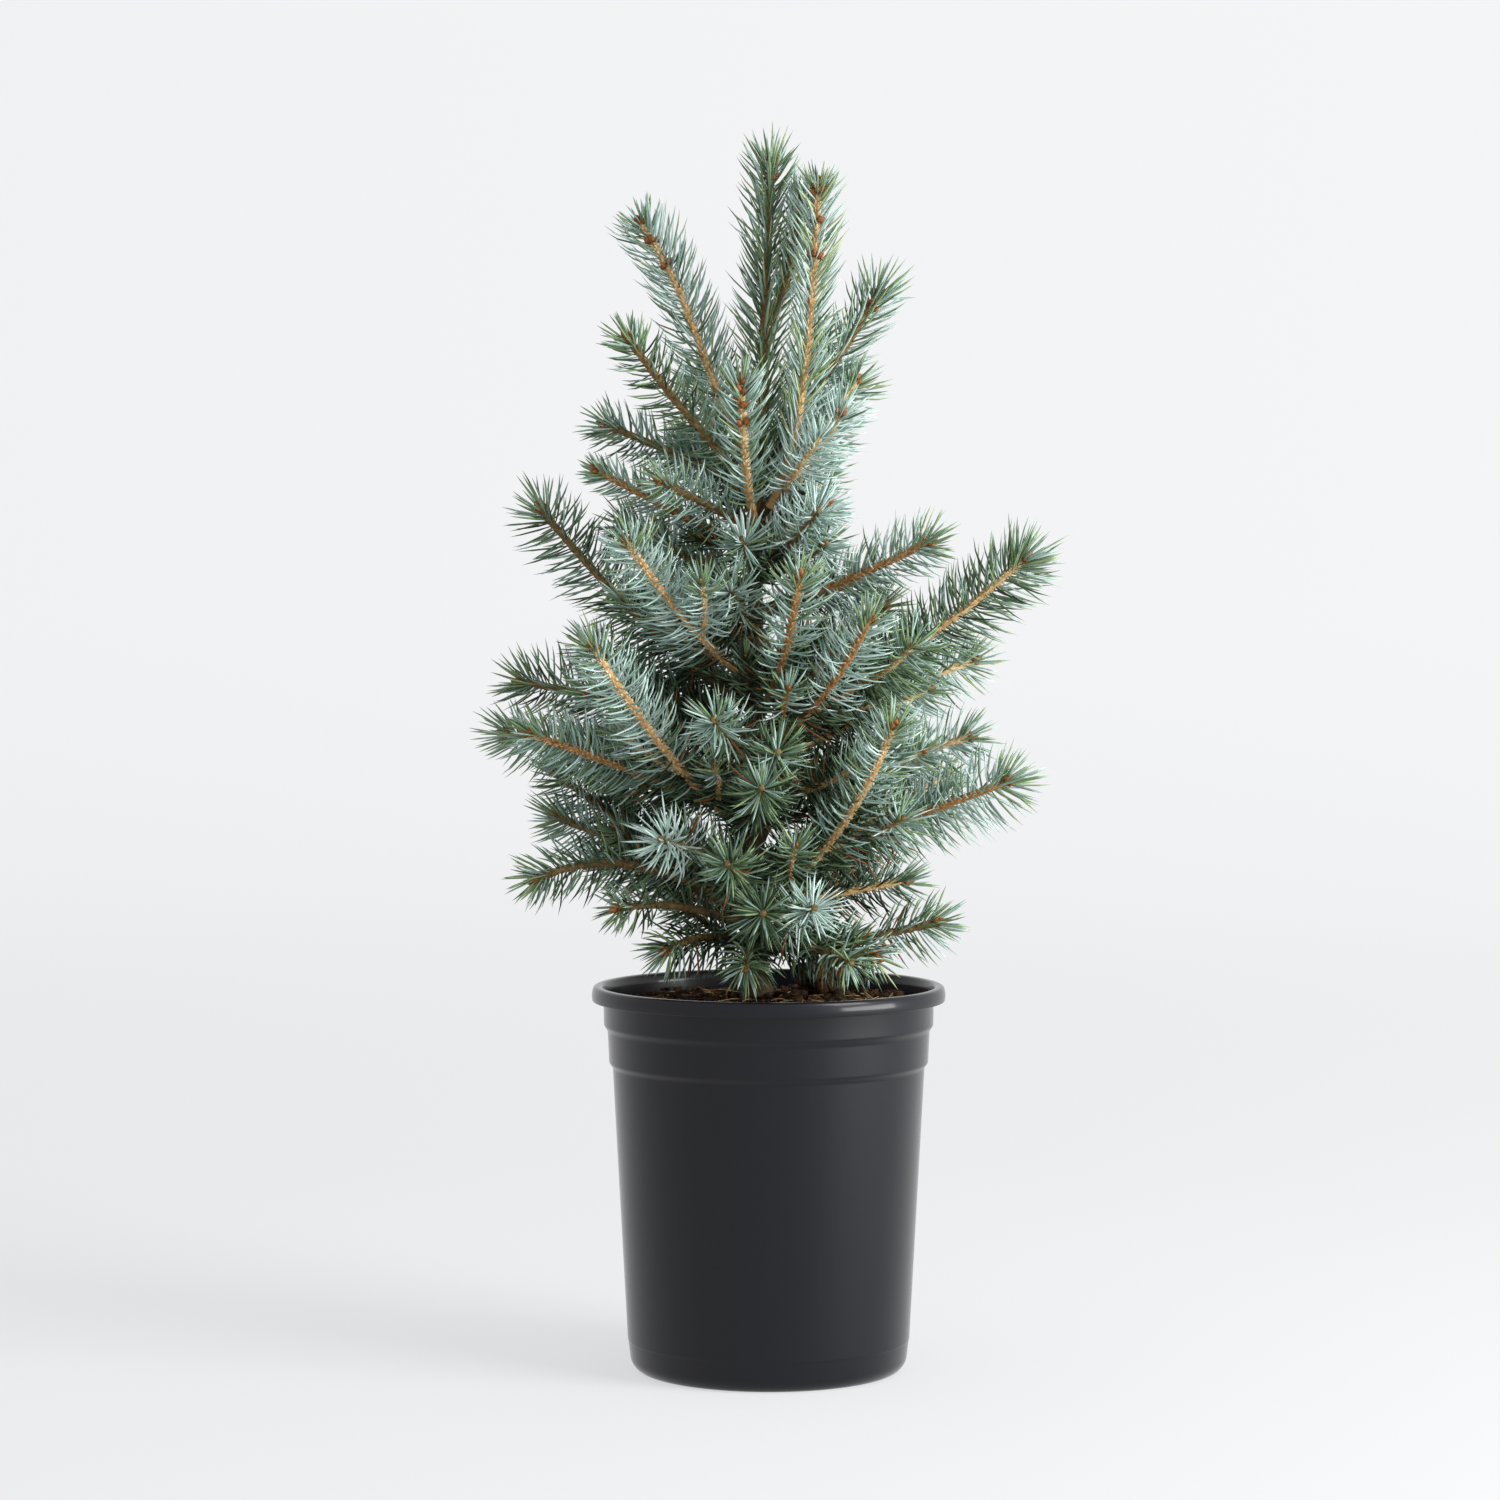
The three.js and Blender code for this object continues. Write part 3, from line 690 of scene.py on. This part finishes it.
def end_buds(stem, size, neighbours):
    """The end bud and the smaller buds that crowd under it."""
    tip, ahead = stem.points[-1], stem.ahead[-1]
    add_bud(bud_pile, tip, ahead, size)
    for k in range(neighbours):
        angle = k * 2 * math.pi / neighbours + rng.uniform(0, 1)
        out = stem.across[-1] * math.cos(angle) + stem.over[-1] * math.sin(angle)
        add_bud(bud_pile, tip - ahead * rng.uniform(0.5, 2.5) + out * 1.2,
                ahead * 0.8 + out * 0.75, size * rng.uniform(0.65, 0.85))


def side_shoot(part, parent, distance, side_way, shoot, length, bare_side):
    """A shoot that leaves its parent stem at an angle and curves forward and up."""
    foot = parent.at(np.array([distance]), parent.points)[0]
    ahead = unit(parent.at(np.array([distance]), parent.ahead)[0])
    way = unit(ahead * 0.75 + side_way * 0.85)
    bend = foot + way * length * 0.5
    end = foot + unit(way + ahead * 0.35 + np.array([0, 0, 0.22])) * length
    end[2] = max(end[2], LOWEST_TWIG_TIP)
    stem = Stem(curve(foot, bend, end))
    radii = np.linspace(TWIG_RADIUS, TWIG_TIP_RADIUS, len(stem.points))
    own, pegs = STEM_NAMES.index(shoot.stem), STEM_NAMES.index(PEGS_OF[shoot.stem])
    add_stem(twig_pile, stem, radii, np.full(len(stem.points), own), sides=6, roughness=0.06)
    clothe(part, stem, 3.0, shoot.tint, pegs, shoot.length * 0.9, shoot.spread,
           shoot.tip_spread + 8, shoot.lift, lambda s: np.interp(s, stem.along, radii),
           parted=shoot.parted, bare_side=bare_side, fresh=shoot.fresh, tuft=shoot.tuft)
    end_buds(stem, size=3.2, neighbours=1)


def main_shoot(part, shoot):
    """A limb from the trunk to its end bud, its needles, and the side shoots at its foot."""
    stem = Stem(shoot_curve(shoot))
    share = stem.along / stem.length
    radii = LIMB_RADIUS + (LIMB_TIP_RADIUS - LIMB_RADIUS) * share ** 0.7
    own, pegs = STEM_NAMES.index(shoot.stem), STEM_NAMES.index(PEGS_OF[shoot.stem])
    slots = np.where(share < shoot.dark, STEM_NAMES.index("dark"), own)
    add_stem(limb_pile, stem, radii, slots, sides=9, roughness=0.07)
    start = max(trunk_radius(shoot.leaves) + 4.0, shoot.bare * stem.length)
    away = math.sin(shoot.turn) > AWAY
    bare_side = (0, 1 if away else -1, -0.35)
    clothe(part, stem, start, shoot.tint, pegs, shoot.length, shoot.spread, shoot.tip_spread,
           shoot.lift, lambda s: np.interp(s, stem.along, radii), parted=shoot.parted,
           bare_side=bare_side, fresh=shoot.fresh, tuft=shoot.tuft,
           per_mm=shoot.per_mm * (AWAY_SHARE if away else 1))
    if shoot.bud:
        end_buds(stem, shoot.bud, neighbours=4)
    for below_tip in shoot.knots:
        bud_knot(stem, below_tip, size=4.0)
    level = unit(np.cross(stem.ahead[0], UP))
    for k in range(shoot.sides):
        distance = stem.length * (0.22 + 0.16 * k) + rng.uniform(-3, 3)
        hand = 1 if (k + int(shoot.leaves)) % 2 else -1
        side_way = unit(level * hand + np.array([0, 0, rng.uniform(-0.35, 0.35)]))
        length = rng.uniform(38, 56) * (1 - 0.12 * k)
        side_shoot(part, stem, distance, side_way, shoot, length, bare_side)


def inner_shoots():
    """Short shaded shoots on the trunk between the main ones."""
    for k in range(INNER_SHOOTS):
        height = INNER_LOWEST + INNER_SPAN * (k + rng.uniform(0, 1)) / INNER_SHOOTS
        outward = outward_at(k * GOLDEN_ANGLE)
        reach = rng.uniform(26, 56) * (1 if height < CROWN_MIDDLE else 0.7)
        foot = on_trunk(height)
        end = foot + outward * reach + np.array([0, 0, reach * rng.uniform(0.1, 0.7)])
        stem = Stem(curve(foot, foot + outward * reach * 0.5, end))
        radii = np.linspace(INNER_RADIUS, INNER_TIP_RADIUS, len(stem.points))
        slot = STEM_NAMES.index("dark")
        add_stem(twig_pile, stem, radii, np.full(len(stem.points), slot), sides=6, roughness=0.06)
        part = "skirt" if height < SKIRT_TOP else "middle" if height < MIDDLE_TOP else "top"
        # The needles of these short shoots are dealt the darkest tints: painted shade.
        clothe(part, stem, 8.0, "painted_shade", slot, length=17.0, spread=56.0, tip_spread=26.0,
               lift=0.15, radius_at=lambda s: np.interp(s, stem.along, radii), per_mm=1.7,
               pegs=False, fresh=False)
        end_buds(stem, size=2.8, neighbours=0)


def leader():
    """The needles, pegs and buds on the trunk's top."""
    stem = Stem(trunk_line(LEADER_FOOT, TRUNK_TOP, LINE_STEP))
    slot = STEM_NAMES.index("olive")
    clothe("top", stem, 2.0, "leader", slot, length=26.5, spread=46.0, tip_spread=24.0,
           lift=0.0, radius_at=lambda s: trunk_radius(LEADER_FOOT + s), per_mm=2.4, parted=0.0)
    end_buds(stem, size=5.0, neighbours=5)
    bud_knot(stem, below_tip=9, size=3.6)


for part_name, shoots in CROWN.items():
    for each in [*shoots.values(), *LESSER_SHOOTS[part_name]]:
        main_shoot(part_name, each)
inner_shoots()
leader()

for name, pile in needle_piles.items():
    part, half = name.split("_")
    piece = pile.make("needles_" + name, NEEDLE_MATERIALS, "needles")
    for shoot_name, shoot in CROWN[part].items():
        faces_back = math.sin(shoot.turn) > 0
        if faces_back == (half == "back"):
            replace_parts(piece, "needles_" + shoot_name)
    if name == "top_front":
        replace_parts(piece, "needles_leader")

stem_materials = list(STEM_MATERIALS.values())
limbs = limb_pile.make("boughs_bark", stem_materials, "young_bark")
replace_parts(limbs, *[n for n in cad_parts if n.startswith("bough_")])
twig_pile.make("twigs_bark", stem_materials, "young_bark")
peg_pile.make("twig_pegs", stem_materials, "young_bark", smooth=False)
bud_pile.make("buds", [BUD_MATERIAL], "young_bark")

# ---- trunk


def trunk():
    """The trunk with flaking bark below and ridged young bark above."""
    pile = Pile()
    stem = Stem(trunk_line(TRUNK_FOOT, TRUNK_TOP, 1.0))
    sides = 40
    rings = len(stem.points)
    heights = stem.points[:, 2]
    turn, level = np.meshgrid(angles_round(sides), heights)
    ridges = (0.35 * np.sin(5 * turn + 0.05 * level) + 0.3 * np.sin(9 * turn - 0.11 * level)
              + 0.35 * np.sin(0.9 * level + 3 * np.sin(2 * turn)))
    flakes = rng.normal(0, 1, (rings, sides)) * 0.25
    old = np.clip((LEADER_FOOT - level) / 60, 0.25, 1)
    radius = trunk_radius(heights)[:, None] + old * (0.42 * ridges + flakes)
    points = np.stack([stem.points[:, 0:1] + radius * np.cos(turn),
                       radius * np.sin(turn), level], axis=-1)
    ends = [on_trunk(TRUNK_FOOT), on_trunk(TRUNK_TOP) + UP]
    young = np.tile(np.repeat((heights[:-1] > LEADER_FOOT).astype(int), sides), 2)
    slots = np.concatenate([young, np.zeros(sides, int), np.ones(sides, int)])
    pile.add(np.concatenate([points.reshape(-1, 3), ends]), tube_triangles(rings, sides), slots)
    return pile.make("trunk_bark", [STEM_MATERIALS["dark"], STEM_MATERIALS["olive"]], "bark")


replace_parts(trunk(), "trunk")

# ---- pot

# The pot's outline from the middle of its underside up the outside, over the rim and down the
# inside: radius, height, and how much the corner there is rounded.
POT_OUTLINE = (
    (0.0, 0.0, 0.0), (70.0, 0.0, 3.0), (74.1, 4.5, 3.0), (75.5, 16.0, 0.3), (75.8, 17.0, 0.3),
    (83.7, 163.2, 1.0), (85.6, 165.9, 0.8), (86.4, 183.0, 1.2), (88.4, 186.0, 0.9),
    (88.6, 199.2, 0.9), (94.6, 199.0, 0.5), (95.0, 202.4, 2.0), (94.0, 207.0, 1.9),
    (89.2, 207.0, 1.5), (88.0, 203.0, 1.0), (87.0, 185.8, 1.0), (84.9, 182.6, 1.0),
    (84.0, 166.5, 1.0), (82.1, 164.0, 1.0), (73.9, 16.2, 1.0), (71.4, 3.0, 1.0), (0.0, 3.0, 0.0),
)
POT_SIDES = 160
DRAIN_HOLES = 6
DRAIN_RADIUS = 6.0
DRAIN_CIRCLE = 52.0


def rounded(outline, steps=5):
    """The outline with every corner turned into a small curve."""
    corners = [np.array(c[:2]) for c in outline]
    line = [corners[0]]
    for before, here, after, corner in zip(corners, corners[1:], corners[2:], outline[1:-1]):
        to_before, to_after = before - here, after - here
        room = 0.45 * min(np.linalg.norm(to_before), np.linalg.norm(to_after))
        size = min(corner[2], room)
        start = here + to_before / np.linalg.norm(to_before) * size
        end = here + to_after / np.linalg.norm(to_after) * size
        for t in np.linspace(0, 1, steps):
            line.append((1 - t) ** 2 * start + 2 * t * (1 - t) * here + t ** 2 * end)
    line.append(corners[-1])
    return np.array(line)


def pot_material():
    """Satin black plastic: a dull base under a weak, smoother sheen, with a fine grain."""
    material = plain_material("pot_plastic", rgb(6, 7, 15), roughness=0.4, specular=0.17)
    shader = material.node_tree.nodes["Principled BSDF"]
    shader.inputs["Coat Weight"].default_value = 0.7
    shader.inputs["Coat Roughness"].default_value = 0.12
    shader.inputs["Coat IOR"].default_value = 1.3
    add_relief(material, scale=1400, detail=3, strength=0.12, distance=0.0002)
    return material


def pot():
    """The outline turned round the pot's axis, with the drain holes cut through its floor."""
    line = rounded(POT_OUTLINE)
    middle = line[1:-1]
    angle = angles_round(POT_SIDES)
    points = np.stack([middle[:, 0:1] * np.cos(angle), middle[:, 0:1] * np.sin(angle),
                       np.repeat(middle[:, 1:2], POT_SIDES, axis=1)], axis=-1).reshape(-1, 3)
    ends = np.array([[0, 0, line[0, 1]], [0, 0, line[-1, 1]]])
    pile = Pile()
    pile.add(np.concatenate([points, ends]), tube_triangles(len(middle), POT_SIDES))
    shell = pile.make("pot_shell", [pot_material()], "pot_plastic")
    for k in range(DRAIN_HOLES):
        turn = (k + 0.5) * 2 * math.pi / DRAIN_HOLES
        bpy.ops.mesh.primitive_cylinder_add(
            vertices=32, radius=DRAIN_RADIUS * MM, depth=0.02,
            location=(DRAIN_CIRCLE * MM * math.cos(turn), DRAIN_CIRCLE * MM * math.sin(turn), 0))
        cutter = bpy.context.object
        cut = shell.modifiers.new("drain", "BOOLEAN")
        cut.object = cutter
        cut.operation = "DIFFERENCE"
        bpy.context.view_layer.objects.active = shell
        bpy.ops.object.modifier_apply(modifier=cut.name)
        bpy.data.objects.remove(cutter)
    return shell


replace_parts(pot(), "pot")

# ---- soil

SOIL_MATERIALS = [
    mottled_material("compost_dark", rgb(26, 18, 12), rgb(62, 44, 30), 260, 0.95, 1.0, 3.0, 0.15),
    mottled_material("compost_brown", rgb(46, 32, 20), rgb(86, 64, 40), 400, 0.95, 0.8, 2.0, 0.15),
    mottled_material("straw", rgb(150, 118, 70), rgb(204, 176, 124), 500, 0.8),
    mottled_material("dead_needles", rgb(98, 54, 28), rgb(158, 92, 48), 500, 0.8),
    mottled_material("moss", rgb(96, 92, 40), rgb(150, 140, 78), 500, 0.9),
]
SOIL_RADIUS = 87.2
SOIL_SKIRT_RADIUS = 86.6
SOIL_SKIRT_FOOT = 186.0
LITTER_REACH = 75.0
CRUMBS = 1500
STRAWS = 90
DEAD_NEEDLES = 130
# Thicker patches of litter: how many pieces, and the middle.
DEAD_PATCH = (60, -12, -64)
MOSS_PATCH = (130, 60, -42)
CLUMP = (60, 26, 24)


def soil_height(x, y):
    """The height of the soil: a hill round the trunk, and rough crumbs."""
    from_trunk = np.hypot(x - TRUNK_LEAN_OFFSETS[0], y)
    hill = SOIL_EDGE + (SOIL_HILL - SOIL_EDGE) * np.exp(-(from_trunk / SOIL_HILL_REACH) ** 2)
    waves = (0.5 * np.sin(0.13 * x + 1.1) * np.cos(0.11 * y) + 0.4 * np.sin(0.31 * x - 0.27 * y)
             + 0.3 * np.cos(0.53 * y + 0.4 * x))
    return hill + 0.7 * waves


def soil():
    """The soil's surface, with a skirt down along the pot's inside."""
    pile = Pile()
    rings, sides = 70, 180
    radius = SOIL_RADIUS * np.sqrt(np.linspace(0.0004, 1, rings))
    angle = angles_round(sides)
    r, a = np.meshgrid(radius, angle, indexing="ij")
    x, y = r * np.cos(a), r * np.sin(a)
    z = soil_height(x, y) + rng.normal(0, 0.35, x.shape)
    top = np.stack([x, y, z], -1).reshape(-1, 3)
    skirt = np.stack([SOIL_SKIRT_RADIUS * np.cos(angle), SOIL_SKIRT_RADIUS * np.sin(angle),
                      np.full(sides, SOIL_SKIRT_FOOT)], -1)
    points = np.concatenate([top, skirt, [[0, 0, soil_height(0, 0)]]])
    triangles = ring_triangles(rings + 1, sides)[:, ::-1]
    side = np.arange(sides)
    cap = np.stack([np.full(sides, len(points) - 1), side, (side + 1) % sides], -1)
    pile.add(points, np.concatenate([triangles, cap]))
    return pile.make("soil_surface", [SOIL_MATERIALS[0]], "compost")


def add_crumb(pile, place, size, slot):
    """A rough lump of soil with eight corners."""
    corners = np.array([[x, y, z] for x in (-1, 1) for y in (-1, 1) for z in (-1, 1)]) * 0.55
    corners = corners * rng.uniform(0.55, 1.25, (8, 3)) * size
    turn = rng.uniform(0, math.pi)
    spin = np.array([[math.cos(turn), -math.sin(turn), 0], [math.sin(turn), math.cos(turn), 0],
                     [0, 0, 1]])
    faces = [[0, 1, 3], [0, 3, 2], [4, 6, 7], [4, 7, 5], [0, 4, 5], [0, 5, 1],
             [2, 3, 7], [2, 7, 6], [0, 2, 6], [0, 6, 4], [1, 5, 7], [1, 7, 3]]
    pile.add(corners @ spin.T + place, faces, slot)


def add_strand(pile, place, way, length, width, rise, slot):
    """A thin curved strand lying on the soil: a straw, a root hair or a fallen needle."""
    way = unit(np.asarray(way, dtype=float))
    side = unit(np.cross(way, UP))
    sides = 3
    rings = 6
    bow = rng.uniform(-0.25, 0.25)
    points = []
    for share in np.linspace(0, 1, rings):
        middle = (place + way * length * (share - 0.5) + side * bow * length * share * (1 - share) * 2
                  + np.array([0, 0, rise * 4 * share * (1 - share)]))
        thick = width * (0.4 + 0.6 * math.sin(math.pi * min(share + 0.15, 1)))
        for k in range(sides):
            angle = k * 2 * math.pi / sides
            lift = np.array([0, 0, thick * math.sin(angle)])
            points.append(middle + side * thick * math.cos(angle) + lift)
    pile.add(points, ring_triangles(rings, sides), slot)


def anywhere(spread):
    """A place on the soil, so far from the pot's middle at most."""
    turn, reach = rng.uniform(0, 2 * math.pi), spread * math.sqrt(rng.uniform())
    return reach * math.cos(turn), reach * math.sin(turn)


def near(x, y, spread):
    """A place near another, pulled in where a strand would poke through the pot's wall."""
    x, y = rng.normal(x, spread), rng.normal(y, spread)
    share = min(1, LITTER_REACH / math.hypot(x, y))
    return x * share, y * share


def on_soil(x, y, gap):
    return np.array([x, y, soil_height(x, y) + gap])


def any_way(rise, unevenness):
    """A direction across the soil that rises or falls a little."""
    return [*rng.normal(0, 1, 2), rng.normal(rise, unevenness)]


def soil_litter():
    """Crumbs, straws and dead needles all over, a patch of dead needles and one of moss in
    front, and a clump of soil behind the trunk."""
    pile = Pile()
    dark, brown, straw, dead, moss = range(len(SOIL_MATERIALS))
    for _ in range(CRUMBS):
        x, y = anywhere(82)
        size = rng.gamma(2.0, 0.75) + 0.4
        slot = dark if rng.uniform() < 0.7 else brown
        add_crumb(pile, on_soil(x, y, size * 0.2), min(size, 5), slot)
    for _ in range(STRAWS):
        x, y = anywhere(70)
        add_strand(pile, on_soil(x, y, 1.2), any_way(0, 0.12), rng.uniform(8, 22),
                   rng.uniform(0.25, 0.5), rng.uniform(0, 1.5), straw)
    for _ in range(DEAD_NEEDLES):
        x, y = anywhere(72)
        add_strand(pile, on_soil(x, y, 1.0), any_way(0, 0.15), rng.uniform(11, 18),
                   rng.uniform(0.35, 0.5), rng.uniform(0, 0.8), dead)
    count, *middle = DEAD_PATCH
    for _ in range(count):
        x, y = near(*middle, 6.5)
        add_strand(pile, on_soil(x, y, 1.8), any_way(0, 0.2), rng.uniform(10, 17),
                   0.5, rng.uniform(0, 1.5), dead)
    count, *middle = MOSS_PATCH
    for _ in range(count):
        x, y = near(*middle, 6.5)
        way = any_way(0.3, 0.4)
        slot = moss if rng.uniform() < 0.6 else straw
        add_strand(pile, on_soil(x, y, rng.uniform(1, 6)), way,
                   rng.uniform(6, 13), 0.35, rng.uniform(0, 2), slot)
    count, *middle = CLUMP
    for _ in range(count):
        x, y = near(*middle, 5)
        add_crumb(pile, on_soil(x, y, abs(rng.normal(5, 5))), rng.uniform(2.5, 6),
                  brown if rng.uniform() < 0.35 else dark)
    return pile.make("soil_litter", SOIL_MATERIALS, "compost")


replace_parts(soil(), "soil")
soil_litter()

# ---- studio

# Metres from here on. The backdrop glows a little itself, more with distance from the plant and
# towards the right.
BOWL_FLAT = 2.6
BOWL_WALL = 4.2
BOWL_HEIGHT = 4.5
GLOW_STARTS = 0.8
GLOW_FULL = 3.6
FLOOR_GLOW = 0.595
WALL_GLOW = 0.69
GLOW_PER_METRE = 0.015


def studio_white():
    """Matt white that glows by its distance from the plant and by how far right it is."""
    material = plain_material("studio_white", (0.2, 0.201, 0.204, 1), roughness=1.0, specular=0.0)
    nodes, links = material.node_tree.nodes, material.node_tree.links
    shader = nodes["Principled BSDF"]
    shader.inputs["Emission Color"].default_value = (1, 1.003, 1.012, 1)
    place = nodes.new("ShaderNodeTexCoord")
    parts = nodes.new("ShaderNodeSeparateXYZ")
    reach = nodes.new("ShaderNodeVectorMath")
    reach.operation = "LENGTH"
    rise = nodes.new("ShaderNodeMapRange")
    rise.inputs["From Min"].default_value = GLOW_STARTS
    rise.inputs["From Max"].default_value = GLOW_FULL
    rise.inputs["To Min"].default_value = FLOOR_GLOW
    rise.inputs["To Max"].default_value = WALL_GLOW
    across = nodes.new("ShaderNodeMath")
    across.operation = "MULTIPLY_ADD"
    across.inputs[1].default_value = GLOW_PER_METRE
    links.new(place.outputs["Object"], parts.inputs["Vector"])
    links.new(place.outputs["Object"], reach.inputs["Vector"])
    links.new(reach.outputs["Value"], rise.inputs["Value"])
    links.new(parts.outputs["X"], across.inputs[0])
    links.new(rise.outputs["Result"], across.inputs[2])
    links.new(across.outputs["Value"], shader.inputs["Emission Strength"])
    return material


def studio_bowl():
    """A seamless floor that curves up into a wall all round."""
    bend = BOWL_WALL - BOWL_FLAT
    outline = [(0.0, 0.0), (BOWL_FLAT, 0.0)]
    for t in np.linspace(0, math.pi / 2, 24)[1:]:
        outline.append((BOWL_FLAT + bend * math.sin(t), bend * (1 - math.cos(t))))
    outline.append((BOWL_WALL, BOWL_HEIGHT))
    sides = 96
    points = [(0.0, 0.0, 0.0)]
    for radius, level in outline[1:]:
        for turn in angles_round(sides):
            points.append((radius * math.cos(turn), radius * math.sin(turn), level))
    faces = [(0, 1 + k, 1 + (k + 1) % sides) for k in range(sides)]
    for ring in range(len(outline) - 2):
        for k in range(sides):
            a, b = 1 + ring * sides + k, 1 + ring * sides + (k + 1) % sides
            faces.append((a, a + sides, b + sides, b))
    mesh = bpy.data.meshes.new("studio_bowl")
    mesh.from_pydata(points, [], faces)
    mesh.polygons.foreach_set("use_smooth", [True] * len(mesh.polygons))
    mesh.materials.append(studio_white())
    bowl = new_object("studio_bowl", mesh)


def soft_light(name, place, size, power, aim=(0, 0, 0.35)):
    """A soft window of this width and height, turned to the plant."""
    data = bpy.data.lights.new(name, "AREA")
    data.shape = "RECTANGLE"
    data.size, data.size_y = size
    data.energy = power
    lamp = new_object(name, data)
    lamp.location = place
    lamp.rotation_mode = "QUATERNION"
    lamp.rotation_quaternion = (Vector(aim) - Vector(place)).to_track_quat("-Z", "Y")


def world_light(strength):
    world = bpy.data.worlds.new("studio_sky")
    world.use_nodes = True
    background = world.node_tree.nodes["Background"]
    background.inputs["Color"].default_value = (1, 1.0, 1.005, 1)
    background.inputs["Strength"].default_value = strength
    bpy.context.scene.world = world


studio_bowl()
soft_light("key_window", place=(1.9, -1.2, 1.9), size=(1.3, 1.5), power=66)
soft_light("low_window", place=(1.4, -0.6, 0.3), size=(1.1, 0.5), power=24)
world_light(0.75)

# The camera stands in front, tilted down by so many degrees, with a lens in millimetres.
CAMERA_PLACE = (-0.01, -2.3, 0.437)
CAMERA_TILT = 2.583
CAMERA_LENS = 103.2
camera_data = bpy.data.cameras.new("camera")
camera_data.sensor_width = 36
camera_data.lens = CAMERA_LENS
camera = new_object("camera", camera_data)
camera.location = CAMERA_PLACE
camera.rotation_euler = (math.radians(90 - CAMERA_TILT), 0, 0)
bpy.context.scene.camera = camera
bpy.context.scene.view_settings.view_transform = "Standard"
